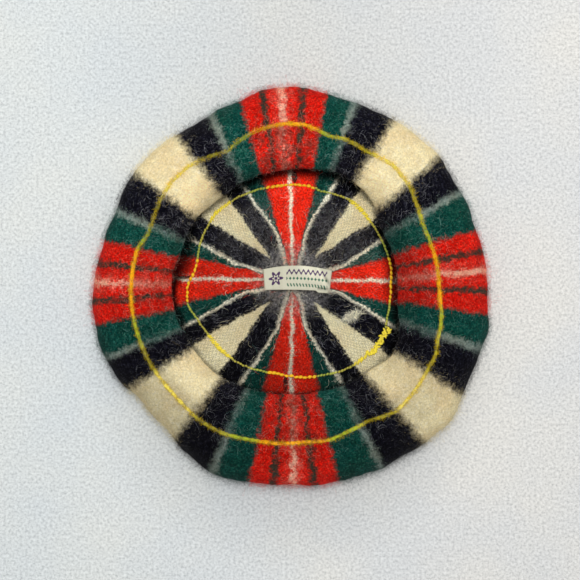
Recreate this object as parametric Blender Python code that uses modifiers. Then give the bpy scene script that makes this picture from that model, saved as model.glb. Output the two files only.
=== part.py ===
"""A tam o'shanter of knitted, milled and brushed wool, lying on its crown with the head opening up.

The bonnet is one piece of knitting: a flat round crown, a soft rolled edge, and an underbrim that
comes back in over the crown to the head opening. There the knitting is turned in and milled down
as a hem, so the wall is thicker and ends in a round lip. A woven label is sewn across the middle
of the crown, inside, by its two turned-under ends.

Metres, +Z up. The origin is the middle of the crown's outer face, on the surface it lies on.
"""

import math
from collections import namedtuple

import bmesh
import bpy
from mathutils import Vector

# Sizes of the bonnet
OUTER_DIAMETER = 0.280  # mean width of the outline from above
OPENING_DIAMETER = 0.163  # mean width of the head opening
HEIGHT = 0.030  # top of the underbrim's crest
RIM_HEIGHT = 0.0135  # mean height of the underbrim where its lip begins
EDGE_HEIGHT = 0.0125  # height of the widest point of the rolled edge
FOOT_DIAMETER = 0.242  # mean width of the flat part of the crown that rests on the surface
CREST_DIAMETER = 0.214  # mean width of the ring along the top of the underbrim
RIM_SLOPE = math.radians(48)  # how steeply the underbrim dips into the opening
WALL = 0.003  # thickness of the milled knitting
HEM_WALL = 0.0048  # thickness of the turned-in hem
HEM_WIDTH = 0.012  # how far the hem reaches in from the lip
HEM_STEP = 0.004  # length over which the hem's thickness runs out

# Sizes of the label
LABEL_LENGTH = 0.049
LABEL_WIDTH = 0.0175
LABEL_WALL = 0.001
LABEL_FOLD = 0.0007  # radius of the fold at each end, at the middle of its wall
LABEL_TUCK = 0.0045  # length of each turned-under end
LABEL_ARCH = 0.0030  # rise of the middle over the ends
LABEL_BOW = 0.0012  # how far the middle is pushed sideways, across its length
LABEL_END_SHARE = 0.90  # width of the ends, of the label's width
LABEL_FLARE = 0.03  # how much longer the far long side is than the middle, and the near one shorter
LABEL_TURN = math.radians(-1.5)
LABEL_PLACE = (0.0050, 0.0050)
SEAT_GAP = 0.0003  # clearance between the label's ends and the crown

# Pieces of the mesh
FOOT_RINGS = 5
SIDE_STEPS = 6
TOP_STEPS = 7
DIP_STEPS = 7
LIP_STEPS = 4
FOLD_STEPS = 4
ARCH_STEPS = 14
WIDTH_STEPS = 4

# One row for each fold or swelling of the soft ring, by its azimuth in degrees from +X. The
# columns are shares of the mean edge radius, opening radius, rim height and crest height.
Fold = namedtuple("Fold", "azimuth edge rim rim_rise crest_rise")
FOLDS = (
    Fold(0, 0.996, 0.935, 1.40, 0.98),
    Fold(25, 0.981, 0.925, 1.45, 1.00),
    Fold(36, 0.990, 0.955, 1.00, 1.00),
    Fold(45, 1.016, 1.025, 0.85, 0.97),
    Fold(63, 0.985, 1.055, 1.45, 1.00),
    Fold(76, 0.991, 1.048, 1.40, 0.97),
    Fold(91, 1.016, 1.025, 1.25, 0.96),
    Fold(110, 0.973, 0.997, 1.45, 1.00),
    Fold(122, 0.954, 0.993, 1.25, 1.02),
    Fold(134, 0.980, 0.997, 0.92, 0.98),
    Fold(143, 0.997, 1.012, 0.95, 1.00),
    Fold(157, 0.961, 0.995, 1.50, 1.02),
    Fold(170, 0.976, 1.005, 1.50, 1.00),
    Fold(182, 1.006, 1.030, 1.30, 0.97),
    Fold(197, 1.011, 1.018, 1.30, 0.98),
    Fold(212, 0.988, 1.005, 1.00, 0.98),
    Fold(229, 0.955, 1.015, 0.92, 1.00),
    Fold(238, 0.992, 0.993, 1.00, 1.00),
    Fold(247, 1.027, 0.970, 1.05, 0.97),
    Fold(265, 1.008, 0.945, 1.00, 0.95),
    Fold(290, 1.024, 0.968, 1.00, 0.98),
    Fold(304, 1.032, 0.992, 1.05, 1.00),
    Fold(317, 1.057, 1.025, 0.90, 0.98),
    Fold(330, 1.024, 1.060, 1.35, 1.00),
    Fold(347, 1.012, 0.970, 1.40, 0.99),
)

# The tartan's eight repeats, each from the middle of a red stripe to the middle of a cream one.
Turn = namedtuple("Turn", "azimuth middle")
TURNS = (
    Turn(4.5, "red"),
    Turn(49.5, "cream"),
    Turn(92.5, "red"),
    Turn(135.8, "cream"),
    Turn(178.8, "red"),
    Turn(222.8, "cream"),
    Turn(271.0, "red"),
    Turn(319.0, "cream"),
)

# The stripes of one repeat: the share of the repeat where each ends, counted from the red middle.
Stripe = namedtuple("Stripe", "colour end pieces")
STRIPES = (
    Stripe("red", 0.29, 3),
    Stripe("green", 0.50, 2),
    Stripe("white", 0.53, 1),
    Stripe("black", 0.79, 2),
    Stripe("cream", 1.00, 2),
)
COLOURS = {
    "red": (0.60, 0.020, 0.010),
    "green": (0.010, 0.085, 0.062),
    "white": (0.42, 0.44, 0.38),
    "black": (0.010, 0.010, 0.018),
    "cream": (0.80, 0.72, 0.46),
}
WOOL_ROUGHNESS = 0.95
LABEL_COLOUR = (0.62, 0.60, 0.50)
LABEL_ROUGHNESS = 0.7


def clear_scene():
    for obj in list(bpy.data.objects):
        bpy.data.objects.remove(obj)


def material(name, colour, roughness):
    made = bpy.data.materials.new(name)
    made.use_nodes = True
    shader = made.node_tree.nodes["Principled BSDF"]
    shader.inputs["Base Color"].default_value = (*colour, 1)
    shader.inputs["Roughness"].default_value = roughness
    shader.inputs["Metallic"].default_value = 0
    return made


def around(azimuth, column):
    """The table's value at an azimuth in degrees: a smooth curve through its rows, right round."""
    count = len(FOLDS)
    azimuth %= 360
    after = next((i for i, row in enumerate(FOLDS) if row.azimuth > azimuth), count)
    places, values = [], []
    for i in range(after - 2, after + 2):
        places.append(FOLDS[i % count].azimuth + 360 * (i // count))
        values.append(getattr(FOLDS[i % count], column))
    span = places[2] - places[1]
    share = (azimuth - places[1]) / span
    slope_in = (values[2] - values[0]) / (places[2] - places[0]) * span
    slope_out = (values[3] - values[1]) / (places[3] - places[1]) * span
    cube, square = share**3, share**2
    return (
        values[1] * (2 * cube - 3 * square + 1)
        + values[2] * (3 * square - 2 * cube)
        + slope_in * (cube - 2 * square + share)
        + slope_out * (cube - square)
    )


def quarter(centre, reach, start, steps):
    """Points after the first on a quarter of an ellipse, turning from the angle start, in degrees."""
    points = []
    for i in range(1, steps + 1):
        angle = math.radians(start + 90 * i / steps)
        points.append(centre + Vector((reach.x * math.cos(angle), reach.y * math.sin(angle))))
    return points


def outer_line(azimuth):
    """The outer face's section, from the crown's middle round the edge to the lip, as (radius, height)."""
    edge = OUTER_DIAMETER / 2 * around(azimuth, "edge")
    foot = FOOT_DIAMETER / 2 * around(azimuth, "edge")
    opening = OPENING_DIAMETER / 2 * around(azimuth, "rim")
    crest = CREST_DIAMETER / 2 + (edge - OUTER_DIAMETER / 2 + opening - OPENING_DIAMETER / 2) / 2
    crest_height = HEIGHT * around(azimuth, "crest_rise")
    rim_height = RIM_HEIGHT * around(azimuth, "rim_rise")
    points = [Vector((foot * i / FOOT_RINGS, 0)) for i in range(FOOT_RINGS + 1)]
    points += quarter(Vector((foot, EDGE_HEIGHT)), Vector((edge - foot, EDGE_HEIGHT)), -90, SIDE_STEPS)
    points += quarter(
        Vector((crest, EDGE_HEIGHT)), Vector((edge - crest, crest_height - EDGE_HEIGHT)), 0, TOP_STEPS
    )
    rim = Vector((opening + HEM_WALL / 2 * (1 - math.sin(RIM_SLOPE)), rim_height))
    bend = Vector((rim.x + (crest_height - rim_height) / math.tan(RIM_SLOPE), crest_height))
    top = points[-1]
    for i in range(1, DIP_STEPS + 1):
        t = i / DIP_STEPS
        points.append(top * (1 - t) ** 2 + bend * 2 * t * (1 - t) + rim * t**2)
    return points


def normals_of(points):
    """The outward normal at each point of the outer line, which runs out, up and back in."""
    normals = []
    last = len(points) - 1
    for i in range(last + 1):
        along = (points[min(i + 1, last)] - points[max(i - 1, 0)]).normalized()
        normals.append(Vector((along.y, -along.x)))
    normals[0] = Vector((0, -1))
    normals[-1] = Vector((-math.sin(RIM_SLOPE), math.cos(RIM_SLOPE)))
    return normals


def section(azimuth):
    """The closed section of the wall: the outer line, the round lip and the inner line back to the axis."""
    outer = outer_line(azimuth)
    normals = normals_of(outer)
    to_lip = [0.0] * len(outer)
    for i in range(len(outer) - 2, -1, -1):
        to_lip[i] = to_lip[i + 1] + (outer[i + 1] - outer[i]).length
    inner = []
    for point, normal, distance in zip(outer, normals, to_lip):
        run_out = min(max((distance - HEM_WIDTH) / HEM_STEP, 0), 1)
        inner.append(point - normal * (HEM_WALL + (WALL - HEM_WALL) * run_out))
    centre = (outer[-1] + inner[-1]) / 2
    lip = []
    for i in range(1, LIP_STEPS):
        angle = math.pi * i / LIP_STEPS
        ahead = Vector((-math.cos(RIM_SLOPE), -math.sin(RIM_SLOPE)))
        lip.append(centre + (normals[-1] * math.cos(angle) + ahead * math.sin(angle)) * HEM_WALL / 2)
    return outer + lip + inner[::-1]


def section_azimuths():
    """Azimuths of the sections, on every edge of a stripe, and the colour that follows each."""
    found = []
    for i, turn in enumerate(TURNS):
        after = TURNS[(i + 1) % len(TURNS)]
        span = (after.azimuth - turn.azimuth) % 360
        ends = [0.0] + [stripe.end for stripe in STRIPES]
        runs = list(zip(STRIPES, ends, ends[1:]))
        if turn.middle == "cream":
            runs = [(stripe, 1 - high, 1 - low) for stripe, low, high in reversed(runs)]
        for stripe, low, high in runs:
            for k in range(stripe.pieces):
                share = low + (high - low) * k / stripe.pieces
                found.append((turn.azimuth + span * share, stripe.colour))
    return found


def make_bonnet(collection):
    """The whole of the knitting: a loft through unlike sections round the axis."""
    wool = [material(f"{name}_wool", colour, WOOL_ROUGHNESS) for name, colour in COLOURS.items()]
    colour_index = {name: i for i, name in enumerate(COLOURS)}
    mesh = bpy.data.meshes.new("bonnet")
    for made in wool:
        mesh.materials.append(made)
    shape = bmesh.new()
    poles = (shape.verts.new((0, 0, 0)), shape.verts.new((0, 0, WALL)))
    rings = []
    turns = section_azimuths()
    for azimuth, _ in turns:
        direction = Vector((math.cos(math.radians(azimuth)), math.sin(math.radians(azimuth)), 0))
        ring = []
        for point in section(azimuth)[1:-1]:
            ring.append(shape.verts.new(direction * point.x + Vector((0, 0, point.y))))
        rings.append(ring)
    for i, (_, colour) in enumerate(turns):
        here, after = rings[i], rings[(i + 1) % len(rings)]
        faces = [
            shape.faces.new((poles[0], after[0], here[0])),
            shape.faces.new((poles[1], here[-1], after[-1])),
        ]
        for k in range(len(here) - 1):
            faces.append(shape.faces.new((here[k], after[k], after[k + 1], here[k + 1])))
        for face in faces:
            face.material_index = colour_index[colour]
    bmesh.ops.recalc_face_normals(shape, faces=shape.faces)
    shape.to_mesh(mesh)
    shape.free()
    mesh.shade_smooth()
    bonnet = bpy.data.objects.new("bonnet", mesh)
    collection.objects.link(bonnet)
    return bonnet


def label_path():
    """The label's section along its length, as (place along, height) from where its ends rest."""
    low = LABEL_WALL / 2
    fold_place = LABEL_LENGTH / 2 - low - LABEL_FOLD
    fold_middle = Vector((fold_place, low + LABEL_FOLD))
    half = [Vector((fold_place - LABEL_TUCK, low))]
    for i in range(FOLD_STEPS + 1):
        angle = math.radians(-90 + 180 * i / FOLD_STEPS)
        half.append(fold_middle + LABEL_FOLD * Vector((math.cos(angle), math.sin(angle))))
    arch = []
    for i in range(1, ARCH_STEPS):
        place = fold_place * (1 - 2 * i / ARCH_STEPS)
        rise = LABEL_ARCH * (1 + math.cos(math.pi * place / fold_place)) / 2
        arch.append(Vector((place, low + 2 * LABEL_FOLD + rise)))
    mirrored = [Vector((-point.x, point.y)) for point in reversed(half)]
    return half + arch + mirrored


def make_label(collection):
    """A woven tape that arches over the crown's middle between its two turned-under ends."""
    mesh = bpy.data.meshes.new("label")
    mesh.materials.append(material("label_tape", LABEL_COLOUR, LABEL_ROUGHNESS))
    shape = bmesh.new()
    rows = []
    for point in label_path():
        along = 2 * point.x / LABEL_LENGTH
        half_width = LABEL_WIDTH / 2 * (1 - (1 - LABEL_END_SHARE) * along**2)
        row = []
        for k in range(WIDTH_STEPS + 1):
            across = 2 * k / WIDTH_STEPS - 1
            x = point.x * (1 + LABEL_FLARE * across)
            y = half_width * across + LABEL_BOW * (1 - along**2)
            row.append(shape.verts.new((x, y, point.y)))
        rows.append(row)
    for here, after in zip(rows, rows[1:]):
        for k in range(WIDTH_STEPS):
            shape.faces.new((here[k], here[k + 1], after[k + 1], after[k]))
    shape.to_mesh(mesh)
    shape.free()
    mesh.shade_smooth()
    label = bpy.data.objects.new("label", mesh)
    label.location = (*LABEL_PLACE, WALL + SEAT_GAP)
    label.rotation_euler = (0, 0, LABEL_TURN)
    collection.objects.link(label)
    wall = label.modifiers.new("wall", "SOLIDIFY")
    wall.thickness = LABEL_WALL
    wall.offset = 0
    return label


def main():
    clear_scene()
    collection = bpy.data.collections.new("tam_o_shanter")
    bpy.context.scene.collection.children.link(collection)
    make_bonnet(collection)
    make_label(collection)


main()
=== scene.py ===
"""The looks of a tam o'shanter of knitted, milled and brushed tartan wool, lying on its crown."""

import math

import bpy
import numpy as np
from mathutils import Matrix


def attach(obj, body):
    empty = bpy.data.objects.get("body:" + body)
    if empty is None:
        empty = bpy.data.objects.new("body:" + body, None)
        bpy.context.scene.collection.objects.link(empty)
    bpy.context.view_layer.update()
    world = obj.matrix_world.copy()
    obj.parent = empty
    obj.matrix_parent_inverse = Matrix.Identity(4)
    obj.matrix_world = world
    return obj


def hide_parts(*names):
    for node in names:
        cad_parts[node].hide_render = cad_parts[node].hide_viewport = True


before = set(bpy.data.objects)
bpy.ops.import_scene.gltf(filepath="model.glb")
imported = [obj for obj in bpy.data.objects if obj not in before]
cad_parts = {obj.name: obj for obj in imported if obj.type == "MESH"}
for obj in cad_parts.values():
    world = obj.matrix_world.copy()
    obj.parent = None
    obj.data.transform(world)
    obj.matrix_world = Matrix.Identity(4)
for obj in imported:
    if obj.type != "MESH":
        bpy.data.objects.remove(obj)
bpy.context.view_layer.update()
rng = np.random.default_rng(7)

# Sizes of the bonnet, in metres, as in the part's source
OUTER_DIAMETER = 0.280
OPENING_DIAMETER = 0.163
HEIGHT = 0.030
RIM_HEIGHT = 0.0135
EDGE_HEIGHT = 0.0125
FOOT_DIAMETER = 0.242
CREST_DIAMETER = 0.214
RIM_SLOPE = math.radians(48)
WALL = 0.003
HEM_WALL = 0.0048
HEM_WIDTH = 0.012
HEM_STEP = 0.004

# One row for each fold of the soft ring: azimuth, then shares of the mean edge radius, opening
# radius, rim height and crest height.
FOLDS = np.array((
    (0, 0.996, 0.935, 1.40, 0.98),
    (25, 0.981, 0.925, 1.45, 1.00),
    (36, 0.990, 0.955, 1.00, 1.00),
    (45, 1.016, 1.025, 0.85, 0.97),
    (63, 0.985, 1.055, 1.45, 1.00),
    (76, 0.991, 1.048, 1.40, 0.97),
    (91, 1.016, 1.025, 1.25, 0.96),
    (110, 0.973, 0.997, 1.45, 1.00),
    (122, 0.954, 0.993, 1.25, 1.02),
    (134, 0.980, 0.997, 0.92, 0.98),
    (143, 0.997, 1.012, 0.95, 1.00),
    (157, 0.961, 0.995, 1.50, 1.02),
    (170, 0.976, 1.005, 1.50, 1.00),
    (182, 1.006, 1.030, 1.30, 0.97),
    (197, 1.011, 1.018, 1.30, 0.98),
    (212, 0.988, 1.005, 1.00, 0.98),
    (229, 0.955, 1.015, 0.92, 1.00),
    (238, 0.992, 0.993, 1.00, 1.00),
    (247, 1.027, 0.970, 1.05, 0.97),
    (265, 1.008, 0.945, 1.00, 0.95),
    (290, 1.024, 0.968, 1.00, 0.98),
    (304, 1.032, 0.992, 1.05, 1.00),
    (317, 1.057, 1.025, 0.90, 0.98),
    (330, 1.024, 1.060, 1.35, 1.00),
    (347, 1.012, 0.970, 1.40, 0.99),
))
EDGE, RIM, RIM_RISE, CREST_RISE = 1, 2, 3, 4
# Small swells of the rim where the knitting is drawn in or stands out: azimuth, and how far
RIM_SWELLS = (
    ((6, 0.0016), (24, 0.0022), (48, -0.0026), (144, -0.0024), (162, 0.0020))
    + ((216, -0.0036), (234, 0.0014), (321, 0.0026), (348, 0.0020))
)
SWELL_SPREAD = 5.0  # degrees

# The tartan on the ring: azimuths where the stripes meet, for each half repeat from the middle of
# a red stripe: red, green, pale line, black, cream, and the middle of the cream stripe.
RING_TURNS = np.array((
    (4.5, 17, 28, 29.5, 41.3, 49.5),
    (92.5, 79.3, 71.6, 70, 58, 49.5),
    (92.5, 105, 114, 116, 127.3, 135.8),
    (178.8, 166, 157.6, 156, 143.8, 135.8),
    (178.8, 191, 200.5, 202, 212.5, 222.8),
    (271, 258.0, 248, 246, 232.5, 222.8),
    (271, 283.7, 296, 297.3, 310.8, 319),
    (364.5, 352, 343, 341, 327.5, 319),
))
LINE_DEGREES = 0.75  # half the width of the line in the middle of the red
# The same inside the crown, at its turn radius. The third and fourth columns are the edges of the
# white line.
CROWN_TURNS = np.array((
    (4, 16.5, 24.5, 28.5, 39.5, 47),
    (90, 76.5, 69.5, 66.5, 54.5, 47),
    (90, 103.5, 111.5, 114.5, 125, 132.5),
    (175, 163, 156.5, 153.5, 140, 132.5),
    (175, 188, 195.5, 199.5, 210.5, 220),
    (270.5, 255.5, 247.5, 243.5, 229.5, 220),
    (270.5, 285.5, 294.5, 297.5, 310, 318),
    (364, 351.5, 343.5, 340.5, 326, 318),
))
CROWN_TURN_RADIUS = 0.0634
CROWN_MIDDLE = np.array((0.0018, 0.0046))  # where the stripes inside the crown run together
WHITE_HALF = 0.00108  # half the width of the white lines inside the crown
CENTRE_HALF = 0.0011  # the same for the line in the middle of the red
GREEN_GONE, CREAM_GONE = 0.036, 0.023  # within these radii the crown has no green or no cream left
# Dark slivers beside the line in the middle of the red, under the lip: place and half size
SLIVERS = (
    ((0.0030, 0.0795), (0.0022, 0.0050)),
    ((-0.0036, -0.0710), (0.0018, 0.0070)),
    ((-0.0770, 0.0068), (0.0062, 0.0013)),
)
TUFT = np.array((0.0430, -0.0224))  # the pulled tuft in the black stripe
TUFT_SIZE, TUFT_TURN, TUFT_WAY = (0.0064, 0.0014), math.radians(24), (math.radians(-32), 0.7)
TUFT_FIBRES, YARN_FIBRES, FUZZ_SOWN, FUZZ_MOST = 900, 13000, 60000, 15000
CENTRE_FUZZ = (0.013, 0.034)  # matted grey within the first radius, and not past the second
# Where the painted shade in the crease under the lip reaches wider or narrower than elsewhere: azimuth,
# spread in degrees, and how much in metres
WIDE_CREASE_SHADES = (
    (166, 9, 0.0085), (185, 7, -0.0034), (357, 17, 0.0060), (88, 24, 0.0022), (133, 11, 0.0035)
)
CHAIN = 0.0032  # length of a link in the crown's lines, which look like chains
KNIT_ROW, KNIT_COLUMNS = 0.0036, 160  # height of a knitted row, and the stitches in it
EDGE_LINE = 0.0019  # how far outside the cream a thin pale line lies in the crown's black
# The stripe scale: 0 in the middle of red and 1 in the middle of cream. Its borders end the line in
# the middle of red, then red, green, the pale line, black and cream.
LINE, RED_END, GREEN_END, PALE_END, BLACK_END = 0.04, 0.28, 0.50, 0.54, 0.79
BORDERS = (RED_END, GREEN_END, PALE_END, BLACK_END, 1.0)
DARK_LINE, DARK_HALF = 0.143, 0.021  # the dark line in the ring's red, on that scale
# How far the colours blend on each side of the borders, outside the yarn, inside it and on the crown
OUTER_SOFT = (0.016, 0.018, 0.020, 0.022, 0.034)
INNER_SOFT = (0.020, 0.026, 0.034, 0.035, 0.044)
CROWN_SOFT = (0.016, 0.032, 0.015, 0.018, 0.014)

# How far the stripes' edges wander, the length of such a wander, and how far fibres stray from
# their stripe on the ring, at the edge of its black and on the crown
WANDER, WANDER_LENGTH = 0.0006, 0.014
RING_STRAY, BLACK_STRAY, CROWN_STRAY = 0.0011, 0.0015, 0.0009
CURL = 0.22  # how much a fibre curls, in radians for each millimetre
HIGH_SHARE, HIGH_RISE = 0.05, 3.0  # the share of fibres that stand out, and how much higher
UNDER_FLOOR = 0.0004  # how far a fibre may be pressed into what the hat lies on

# The yellow yarn on the ring and the stitches inside the crown: distances from the middle, in
# pixels of the photograph, by azimuth
PIXEL = 0.0007042
YARN_AT = np.array(
    (0, 10, 20, 25, 30, 35, 40, 50, 60, 70, 75, 80, 85, 92, 100, 105, 110, 115, 120, 125, 130, 140)
    + (150, 155, 160, 166, 172, 180, 190, 210, 222, 235, 245, 250, 257, 265, 275, 285, 290, 300)
    + (305, 310, 320, 330, 334, 340, 345, 350, 355)
)
YARN_RADIUS = PIXEL * np.array(
    (148, 147, 146, 145.5, 148, 151, 155, 158.5, 154.5, 156.5, 154.5, 158, 162, 162.5, 160, 157)
    + (153, 148.5, 151, 154, 157, 157.5, 153.5, 151.5, 151, 157, 158, 159, 160, 159.5, 158.5, 161)
    + (161.5, 159.5, 158, 158, 156, 158, 156, 155, 159, 163, 162, 159.5, 160, 156, 155, 153, 150)
)
STITCH_AT = np.array(
    (0, 10, 25, 40, 55, 65, 72, 80, 90, 100, 120, 135, 150, 160, 165, 172, 180, 190, 200, 210)
    + (230, 240, 250, 262, 270, 280, 290, 300, 310, 325, 335, 343)
)
STITCH_RADIUS = PIXEL * np.array(
    (100, 102, 102, 103, 105, 102, 100, 102, 101.5, 101, 103, 104.5, 101, 98, 96, 97, 103, 104)
    + (98, 95, 93, 91.5, 89, 88, 89.5, 92, 94, 98, 101, 104, 104, 101)
)
# How much nearer the middle a thing is than its flat measure, by its height under the camera
SEEN_ON_CREST, SEEN_ON_CROWN = 0.981, 1.032
YARN_HALF, THREAD_HALF = 0.00112, 0.00055  # half as thick as the yarn and the crown's thread
JOIN = (318, 337)  # azimuths of the thick join in the crown's stitches
# How far the yarn is hidden in the milled wool, by azimuth
SUNK_AT = (0, 40, 60, 90, 100, 125, 133, 140, 150, 158, 170, 325, 340, 360)
SUNK = (0.1, 0.1, 0.15, 0.0, 0.45, 0.45, 0.1, 0.1, 0.5, 0.4, 0.0, 0.0, -0.3, 0.1)

# The label's tape as it is sewn in, and as cut, with its tucked ends
LABEL_LENGTH, LABEL_WIDTH, LABEL_WALL, LABEL_FOLD, LABEL_TUCK = 0.049, 0.0175, 0.0005, 0.0007, 0.0045
LABEL_ARCH, LABEL_BOW, LABEL_END_SHARE, LABEL_FLARE = 0.0030, 0.0019, 0.85, 0.03
LABEL_TURN, LABEL_PLACE, LABEL_SEAT = math.radians(-1.2), (0.0050, 0.0044), 0.0033
LABEL_CAD_WALL = 0.001

# Steps of the visible mesh, and the rows of its grid
AZIMUTHS = 400
FOOT_STEPS, SIDE_STEPS, TOP_STEPS, DIP_STEPS, LIP_STEPS = 36, 10, 18, 16, 8
OUTER_ROWS = 1 + FOOT_STEPS + SIDE_STEPS + TOP_STEPS + DIP_STEPS
LIP_ROW = OUTER_ROWS + LIP_STEPS // 2 - 1  # the row on the lip's tip
ROWS = 2 * OUTER_ROWS + LIP_STEPS - 1
EDGE_ROW = FOOT_STEPS + SIDE_STEPS
CREST_ROW = EDGE_ROW + TOP_STEPS
CROWN_ROWS = (ROWS - FOOT_STEPS, ROWS - 1)


def linear(*colour):
    """Screen colours from 0 to 255 as linear values."""
    shares = (c / 255 for c in colour)
    return tuple(c / 12.92 if c <= 0.04045 else ((c + 0.055) / 1.055) ** 2.4 for c in shares)


def over_stripes(*screens):
    """A thread's colours over the stripes. The line in the red has the red's."""
    colours = [linear(*screen) for screen in screens]
    return [colours[0], *colours]


SCREEN = {
    "red": (218, 24, 10),
    "red_light": (238, 88, 62),
    "red_deep": (140, 10, 8),
    "dark": (62, 56, 46),
    "pink": (246, 186, 158),
    "green": (6, 66, 58),
    "green_light": (62, 130, 118),
    "pale": (136, 150, 140),
    "black": (6, 6, 16),
    "black_light": (45, 46, 64),
    "cream": (244, 229, 182),
    "cream_light": (254, 246, 212),
    "tan": (206, 186, 136),
    "white": (255, 248, 222),
    "yellow": (250, 214, 30),
    "crown_red": (255, 42, 18),
    "crown_cream": (236, 226, 184),
    "ash": (158, 158, 164),
    "sage": (122, 172, 160),
    "rose": (246, 158, 138),
    "grey": (112, 110, 108),
}
PALETTE = {name: linear(*colour) for name, colour in SCREEN.items()}
WOOLS = {name: i for i, name in enumerate(PALETTE)}
# Yellow threads over red, green, the pale line, black and cream
YARN = over_stripes((255, 178, 24), (176, 188, 48), (196, 194, 66), (172, 160, 48), (244, 222, 90))
STITCH = over_stripes((255, 200, 44), (172, 180, 76), (208, 204, 96), (186, 176, 76), (248, 226, 72))
THREAD = over_stripes((232, 124, 26), (100, 122, 56), (168, 162, 76), (112, 104, 50), (232, 208, 96))


# Shape of the knitting
def azimuth_of(points):
    return np.degrees(np.arctan2(points[..., 1], points[..., 0]))


def radius_of(points):
    return np.hypot(points[..., 0], points[..., 1])


def crown_reach(points):
    """The distance from where the crown's stripes run together."""
    return radius_of(points[..., :2] - CROWN_MIDDLE)


def wrap(degrees):
    return (degrees + 180) % 360 - 180


def unit(vectors):
    return vectors / np.maximum(np.linalg.norm(vectors, axis=-1, keepdims=True), 1e-12)


def smooth(low, high, values):
    share = np.clip((values - low) / (high - low), 0, 1)
    return share * share * (3 - 2 * share)


def fade(low, high, values):
    return 1 - smooth(low, high, values)


def bell(values):
    return np.exp(-(values**2))


def waves(points, length, seed, count=14):
    """A smooth, irregular field about from -1 to 1 whose swells are about length apart."""
    draws = np.random.default_rng(seed)
    ways = unit(draws.normal(size=(count, 3)))
    sizes = draws.uniform(0.6, 1.5, count) / length
    starts = draws.uniform(0, 2 * np.pi, count)
    total = np.zeros(points.shape[:-1])
    for way, size, start in zip(ways, sizes, starts):
        total += np.sin(2 * np.pi * size * (points @ way) + start)
    return total / math.sqrt(count / 2) / 1.6


def around(azimuth, column):
    """The folds' values at azimuths in degrees: a smooth curve through the rows, right round."""
    azimuth = np.asarray(azimuth, float) % 360
    count = len(FOLDS)
    after = np.searchsorted(FOLDS[:, 0], azimuth, side="right")
    rows = [after + k for k in (-2, -1, 0, 1)]
    places = [FOLDS[i % count, 0] + 360 * (i // count) for i in rows]
    values = [FOLDS[i % count, column] for i in rows]
    span = places[2] - places[1]
    share = (azimuth - places[1]) / span
    slope_in = (values[2] - values[0]) / (places[2] - places[0]) * span
    slope_out = (values[3] - values[1]) / (places[3] - places[1]) * span
    cube, square = share**3, share**2
    ends = values[1] * (2 * cube - 3 * square + 1) + values[2] * (3 * square - 2 * cube)
    return ends + slope_in * (cube - 2 * square + share) + slope_out * (cube - square)


def pairs(x, z):
    return np.stack(np.broadcast_arrays(x, z), -1)


def sections(azimuth):
    """Closed sections of the wall at each azimuth, as (radius, height) from axis to axis."""
    edge = OUTER_DIAMETER / 2 * around(azimuth, EDGE)[:, None]
    foot = FOOT_DIAMETER / 2 * around(azimuth, EDGE)[:, None]
    opening = OPENING_DIAMETER / 2 * around(azimuth, RIM)[:, None]
    crest = CREST_DIAMETER / 2 + (edge - OUTER_DIAMETER / 2 + opening - OPENING_DIAMETER / 2) / 2
    top = HEIGHT * around(azimuth, CREST_RISE)[:, None]
    low = RIM_HEIGHT * around(azimuth, RIM_RISE)[:, None]
    share = (np.arange(FOOT_STEPS + 1) / FOOT_STEPS) ** 0.75
    lines = [pairs(foot * share, 0.0)]
    turn = -np.pi / 2 + np.pi / 2 * np.arange(1, SIDE_STEPS + 1) / SIDE_STEPS
    lines.append(pairs(foot + (edge - foot) * np.cos(turn), EDGE_HEIGHT + EDGE_HEIGHT * np.sin(turn)))
    turn = np.pi / 2 * np.arange(1, TOP_STEPS + 1) / TOP_STEPS
    over = EDGE_HEIGHT + (top - EDGE_HEIGHT) * np.sin(turn)
    lines.append(pairs(crest + (edge - crest) * np.cos(turn), over))
    rim = opening + HEM_WALL / 2 * (1 - math.sin(RIM_SLOPE))
    bend = rim + (top - low) / math.tan(RIM_SLOPE)
    t = np.arange(1, DIP_STEPS + 1) / DIP_STEPS
    first, second, third = (1 - t) ** 2, 2 * t * (1 - t), t**2
    lines.append(pairs(crest * first + bend * second + rim * third, top * (first + second) + low * third))
    outer = np.concatenate(lines, 1)
    along = np.gradient(outer, axis=1)
    along[:, -1] = (-math.cos(RIM_SLOPE), -math.sin(RIM_SLOPE))
    along = unit(along)
    normals = np.stack((along[..., 1], -along[..., 0]), -1)
    lengths = np.linalg.norm(np.diff(outer, axis=1), axis=-1)
    to_lip = np.concatenate((np.cumsum(lengths[:, ::-1], 1)[:, ::-1], np.zeros((len(outer), 1))), 1)
    thin = smooth(HEM_WIDTH, HEM_WIDTH + HEM_STEP, to_lip)
    inner = outer - normals * (HEM_WALL + (WALL - HEM_WALL) * thin)[..., None]
    centre = (outer[:, -1:] + inner[:, -1:]) / 2
    turn = (np.pi * np.arange(1, LIP_STEPS) / LIP_STEPS)[None, :, None]
    lip = centre + (normals[:, -1:] * np.cos(turn) + along[:, -1:] * np.sin(turn)) * HEM_WALL / 2
    return np.concatenate((outer, lip, inner[:, ::-1]), 1)


def relief(p):
    """Soft swells of the milled knitting, none where it rests on the surface."""
    lifted = smooth(0.004, 0.014, p[..., 2])[..., None]
    swell = np.stack([waves(p, 0.034, seed) for seed in (11, 12, 13)], -1) * 0.0007
    small = np.stack([waves(p, 0.011, seed) for seed in (21, 22, 23)], -1) * 0.00022
    move = (swell + small) * lifted
    radius = radius_of(p)
    inside = np.arange(ROWS) > LIP_ROW + OUTER_ROWS - FOOT_STEPS
    open_crown = smooth(0.034, 0.05, radius) * fade(0.1, 0.12, radius) * inside
    move[..., 2] += open_crown * (0.0005 + 0.0004 * waves(p, 0.02, 31))
    azimuth = azimuth_of(p)
    out = sum(size * bell(wrap(azimuth - place) / SWELL_SPREAD) for place, size in RIM_SWELLS)
    out = out * smooth(0.112, 0.135, radius) * lifted[..., 0] / np.maximum(radius, 0.01)
    move[..., :2] += out[..., None] * p[..., :2]
    return move


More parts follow.
